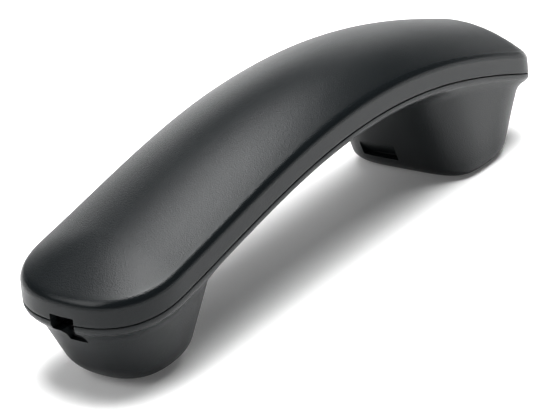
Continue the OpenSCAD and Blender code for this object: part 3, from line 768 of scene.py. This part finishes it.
def recess_cutter():
    """Hanging recess: a level ledge and a ramp that runs out at the wall's surface, with rounded inner
    corners."""
    foot, head = grip_side(RECESS_LOW) + RECESS_DEPTH, grip_side(RECESS_HIGH)
    clear = head - RECESS_CLEAR
    corners = [(foot, RECESS_LOW), (head, RECESS_HIGH), (clear, RECESS_HIGH), (clear, RECESS_LOW)]
    return prism("recess", corners, RECESS_WIDTH, 1, RECESS_FROM, RECESS_BEVEL)


def recess_pocket():
    """Wall behind the hanging recess, inside the bowl."""
    low, high = RECESS_LOW - RECESS_WALL, RECESS_HIGH + RECESS_WALL
    deep = grip_side(RECESS_LOW) + RECESS_DEPTH + RECESS_WALL
    corners = [(grip_side(low) + 1, low), (deep, low), (deep, RECESS_LOW + 0.6),
               (grip_side(RECESS_HIGH) + 1, high)]
    return prism("recess_pocket", corners, RECESS_WIDTH + 2 * RECESS_WALL, 1, RECESS_FROM - RECESS_WALL)


def ear_holes():
    """Cutters for the sound holes over the receiver, in rings about its centre."""
    holes = []
    for count, radius, turn in EAR_HOLE_RINGS:
        for t in np.radians(360 * np.arange(count) / count + turn):
            holes.append(turned("sound_hole", EAR_HOLE,
                                (CAPSULE_X + radius * math.cos(t), radius * math.sin(t), 0), HOLE_SIDES))
    return holes


def make_front():
    """Lower half: tongue and parting edge, lip, grip and bowls, and the same inside with posts and ribs."""
    first = math.radians(1.5)
    turns = first + (math.pi / 2 - first) * np.linspace(0, 1, 104) ** 1.3
    rows = skin_rows(0, turns)[::-1] + parting_edge(-1)
    rows += [ring(inset, rise) for inset, rise in (
        (TONGUE_IN, -PART_GAP), (TONGUE_IN, TONGUE_HEIGHT - TONGUE_CHAMFER),
        (TONGUE_IN + TONGUE_CHAMFER, TONGUE_HEIGHT), (TONGUE_IN + TONGUE_WIDTH, TONGUE_HEIGHT),
        (TONGUE_IN + TONGUE_WIDTH, -1))]
    rows += skin_rows(WALL, np.radians(np.linspace(8, 90, 26)))
    shell = ring_skin("front_shell_skin", rows)
    added = [recess_pocket()]
    cuts = [jack_opening(), recess_cutter()] + ear_holes()
    for x in SCREW_XS:
        under, top = part_line(x) - GRIP_DEPTH, part_line(x) + BOSS_RISE
        added.append(turned("post", [
            (0, under + 1), (BOSS_RADIUS, under + 1), (BOSS_RADIUS, top), (0, top)], (x, 0, 0)))
        cuts.append(turned("screw_well", SCREW_WELL, (x, 0, under)))
    for x in RIB_XS:
        foot = part_line(x) - GRIP_DEPTH + 1
        corners = [(-RIB_HALF, foot), (RIB_HALF, foot), (RIB_HALF, RIB_TOP), (-RIB_HALF, RIB_TOP)]
        added.append(prism("rib", corners, RIB_THICK, 0, x - RIB_THICK / 2))
    added.append(turned("mic_collar", MIC_COLLAR, (MIC_X, 0, 0), 64))
    combine(shell, "UNION", added)
    combine(shell, "DIFFERENCE", cuts)
    combine(shell, "DIFFERENCE", [
        turned("mic_hole", MIC_HOLE, (MIC_X, MIC_HOLE_PITCH * k, 0), HOLE_SIDES) for k in (-1, 0, 1)])
    combine(shell, "DIFFERENCE", [turned("mic_port", MIC_PORT, (MIC_X, 0, 0))])
    return shell


def rubbed_cover(x, y, z):
    """How worn the finish is: most on the rounded edge, some along the middle of the grip."""
    inset = (1 - gauge(x, y)) * HALF_WIDTH
    height = z - part_line(x)
    edge = np.exp(-((inset - 0.6) / 1.3) ** 2 - ((height - SIDE_HEIGHT - 1.6) / 1.7) ** 2)
    grip = 0.35 * np.exp(-((x + 5) / 45) ** 2) * np.clip(height / SIDE_HEIGHT - 1, 0, 1)
    return np.clip(edge + grip, 0, 1)


def rubbed_front(x, y, z):
    """How worn the finish is: on the lip, and round the foot that the handset lies on."""
    lip = np.exp(-((part_line(x) - z - LIP) / 0.6) ** 2) * (gauge(x, y) > 0.93)
    foot = 0.7 * np.exp(-(z / 0.9) ** 2)
    return np.clip(0.6 * lip + foot, 0, 1)


cover = make_cover()
front = make_front()
for piece, node, worn in ((cover, "rear_cover", rubbed_cover), (front, "front_shell", rubbed_front)):
    finish_mesh(piece)
    smooth(piece)
    mark(piece, "rubbed", worn(*points_of(piece)))
    paint(piece, CASE)
    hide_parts(node)
    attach(piece, "case")

# ---------------------------------------------------------------- floor, light


FLOOR_HALF = 4000
GLOW_FROM, GLOW_WIDTH = 0.15, 0.45


def lay_floor():
    """Plain pale sheet under the handset. From GLOW_FROM metres out it comes to glow evenly, over
    GLOW_WIDTH metres, instead of taking the light. Nearer in it glows faintly as well: painted light that
    lightens the handset's shadows."""
    corners = [(x * FLOOR_HALF, y * FLOOR_HALF, 0) for x, y in ((-1, -1), (1, -1), (1, 1), (-1, 1))]
    floor = put_mesh("floor", corners, [[0, 1, 2, 3]])
    p = Paint("pale_floor")
    axes = p.axes()
    out = ((axes["X"] * axes["X"] + axes["Y"] * axes["Y"]).root() - GLOW_FROM) / GLOW_WIDTH
    faint = p.noise(3, 2) * 0.02
    # the glow of 0.10 near the handset is painted light that lightens its shadows
    glow = p.between(out.held(), (0.10, 0.10, 0.10), (0.97, 0.97, 0.97))
    pale = p.between((out + faint).held(), (0.93, 0.93, 0.93), (0.10, 0.10, 0.10))
    paint(floor, p.surface({"Base Color": pale, "Roughness": 0.9, "Emission Color": glow,
                            "Emission Strength": 1.0}))


LIT_POINT = Vector((0, 0, 0.03))


def soft_box(name, at, width, height, power):
    """Rectangular area light at a point, turned to face the handset."""
    data = bpy.data.lights.new(name, "AREA")
    data.shape, data.size, data.size_y, data.energy = "RECTANGLE", width, height, power
    lamp = bpy.data.objects.new(name, data)
    turn = (Vector(at) - LIT_POINT).to_track_quat("Z", "Y").to_matrix().to_4x4()
    lamp.matrix_world = Matrix.Translation(at) @ turn
    bpy.context.scene.collection.objects.link(lamp)


lay_floor()
soft_box("top_box", (0.10, -0.06, 1.15), 0.92, 0.9, 31)
soft_box("left_box", (-0.95, 0.45, 0.9), 0.8, 0.8, 7)
soft_box("back_box", (0.95, 0.85, 0.40), 1.1, 0.45, 2.8)


def studio_sky():
    """Pale ring round the horizon, dark above it: brightness runs down a ramp of the sky's height.
    Seen directly, the sky is plain white."""
    world = bpy.data.worlds.new("studio")
    bpy.context.scene.world = world
    p = Paint("studio", world)
    toward = p.node("ShaderNodeTexCoord")["Generated"]
    height = p.node("ShaderNodeSeparateXYZ", None, {0: toward})["Z"]
    stops = ((0.0, 1.6), (0.08, 1.6), (0.16, 0.10), (0.7, 0.065), (1.0, 0.16))
    ramp = p.node("ShaderNodeValToRGB", {"stops": stops}, {0: height})[0]
    direct = p.node("ShaderNodeLightPath")["Is Camera Ray"]
    seen = p.node("ShaderNodeMix", {"data_type": "RGBA"}, {"Factor": direct, 6: ramp, 7: (1, 1, 1, 1)})[2]
    glow = p.node("ShaderNodeBackground", None, {"Color": seen})["Background"]
    p.node("ShaderNodeOutputWorld", None, {"Surface": glow})


studio_sky()
bpy.context.scene.view_settings.view_transform = "Standard"
bpy.context.scene.view_settings.gamma = 0.84
